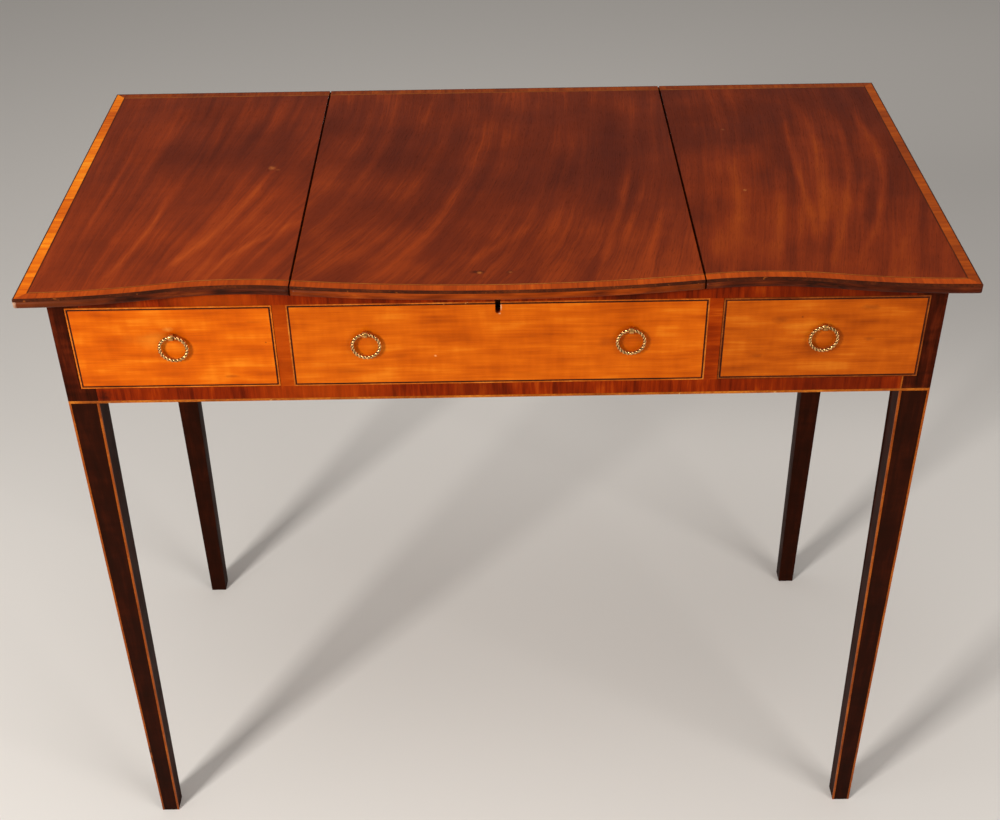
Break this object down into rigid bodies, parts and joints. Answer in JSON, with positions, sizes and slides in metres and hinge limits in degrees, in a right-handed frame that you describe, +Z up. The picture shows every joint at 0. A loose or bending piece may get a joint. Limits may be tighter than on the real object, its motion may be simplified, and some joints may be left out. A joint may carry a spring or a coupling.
{
  "type": "dressing table",
  "caption": "Mahogany and satinwood dressing table on square tapered legs, with a serpentine top in hinged lids over a mirror well and trays, drawers with ring pulls and a lock.",
  "frame": {"origin": "on the floor, under the middle of the top", "axes": "+X to the right as seen from the front, +Y to the back, +Z up; the drawer fronts face -Y"},
  "size_m": [0.924, 0.482, 0.78],
  "materials": {
    "top_mahogany": "French-polished figured mahogany, dark red-brown",
    "case_mahogany": "polished mahogany",
    "frieze_mahogany": "crossbanded mahogany veneer, polished",
    "leg_mahogany": "dark polished mahogany",
    "satinwood": "polished golden satinwood veneer",
    "satinwood_banding": "polished satinwood crossbanding",
    "boxwood": "inlaid boxwood line",
    "inlay_lines": "paired light and dark inlaid lines",
    "lining_oak": "dry, waxed oak linings",
    "ring_brass": "worn gilt brass",
    "fitting_brass": "dull brass",
    "looking_glass": "silvered plate glass"
  },
  "bodies": {
    "case": {"back_board": "lining_oak", "centre_front": "case_mahogany", "centre_front_lines": "inlay_lines", "centre_front_veneer": "satinwood", "drawer_runners": "lining_oak", "frieze_crossbanding": "frieze_mahogany", "frieze_edge_string": "boxwood", "front_bottom_rail": "case_mahogany", "front_dividers": "case_mahogany", "front_top_rail": "case_mahogany", "hinge_back_leaves": "fitting_brass", "hinge_pins": "fitting_brass", "hinge_screws": "fitting_brass", "leg_back_left": "leg_mahogany", "leg_back_right": "leg_mahogany", "leg_front_left": "leg_mahogany", "leg_front_right": "leg_mahogany", "leg_stringing": "boxwood", "lock_case": "fitting_brass", "partitions": "lining_oak", "ring_eyes_centre": "ring_brass", "side_board_left": "case_mahogany", "side_board_right": "case_mahogany", "tray_floors": "lining_oak", "tray_fronts": "lining_oak", "well_bottom": "lining_oak"},
    "drawer_left_body": {"drawer_left_front": "case_mahogany", "drawer_left_front_veneer": "satinwood", "drawer_left_front_lines": "inlay_lines", "drawer_left_sides": "lining_oak", "drawer_left_back": "lining_oak", "drawer_left_bottom": "lining_oak", "ring_eye_left": "ring_brass"},
    "drawer_right_body": {"drawer_right_front": "case_mahogany", "drawer_right_front_veneer": "satinwood", "drawer_right_front_lines": "inlay_lines", "drawer_right_sides": "lining_oak", "drawer_right_back": "lining_oak", "drawer_right_bottom": "lining_oak", "ring_eye_right": "ring_brass"},
    "lid_left_body": {"lid_left": "top_mahogany", "lid_left_crossband": "satinwood_banding", "lid_left_string": "boxwood", "lid_left_hinge_leaves": "fitting_brass"},
    "lid_centre_body": {"lid_centre": "top_mahogany", "lid_centre_crossband": "satinwood_banding", "lid_centre_string": "boxwood", "lid_centre_hinge_leaves": "fitting_brass", "lid_centre_lock_link": "fitting_brass", "mirror_surround": "case_mahogany", "mirror_glass": "looking_glass"},
    "lid_right_body": {"lid_right": "top_mahogany", "lid_right_crossband": "satinwood_banding", "lid_right_string": "boxwood", "lid_right_hinge_leaves": "fitting_brass"},
    "ring_drawer_left_body": {"ring_drawer_left": "ring_brass"},
    "ring_centre_left_body": {"ring_centre_left": "ring_brass"},
    "ring_centre_right_body": {"ring_centre_right": "ring_brass"},
    "ring_drawer_right_body": {"ring_drawer_right": "ring_brass"},
    "lock_bolt_body": {"lock_bolt": "fitting_brass"}
  },
  "joints": [
    {"name": "drawer_left_slide", "type": "slide", "parent": "case", "child": "drawer_left_body", "axis": [0, -1, 0], "range_m": [0, 0.27]},
    {"name": "drawer_right_slide", "type": "slide", "parent": "case", "child": "drawer_right_body", "axis": [0, -1, 0], "range_m": [0, 0.27]},
    {"name": "lid_left_hinge", "type": "hinge", "parent": "case", "child": "lid_left_body", "pos_m": [-0.32, 0.2193, 0.766], "axis": [-1, 0, 0], "range_deg": [0, 95]},
    {"name": "lid_centre_hinge", "type": "hinge", "parent": "case", "child": "lid_centre_body", "pos_m": [0, 0.2193, 0.766], "axis": [-1, 0, 0], "range_deg": [0, 95]},
    {"name": "lid_right_hinge", "type": "hinge", "parent": "case", "child": "lid_right_body", "pos_m": [0.32, 0.2193, 0.766], "axis": [-1, 0, 0], "range_deg": [0, 95]},
    {"name": "ring_drawer_left_swing", "type": "hinge", "parent": "drawer_left_body", "child": "ring_drawer_left_body", "pos_m": [-0.32272, -0.2199, 0.7211], "axis": [-1, 0, 0], "range_deg": [0, 170]},
    {"name": "ring_centre_left_swing", "type": "hinge", "parent": "case", "child": "ring_centre_left_body", "pos_m": [-0.1315, -0.2199, 0.7211], "axis": [-1, 0, 0], "range_deg": [0, 170]},
    {"name": "ring_centre_right_swing", "type": "hinge", "parent": "case", "child": "ring_centre_right_body", "pos_m": [0.1315, -0.2199, 0.7211], "axis": [-1, 0, 0], "range_deg": [0, 170]},
    {"name": "ring_drawer_right_swing", "type": "hinge", "parent": "drawer_right_body", "child": "ring_drawer_right_body", "pos_m": [0.32272, -0.2199, 0.7211], "axis": [-1, 0, 0], "range_deg": [0, 170]},
    {"name": "lock_bolt_throw", "type": "slide", "parent": "case", "child": "lock_bolt_body", "axis": [-1, 0, 0], "range_m": [0, 0.006]}
  ]
}
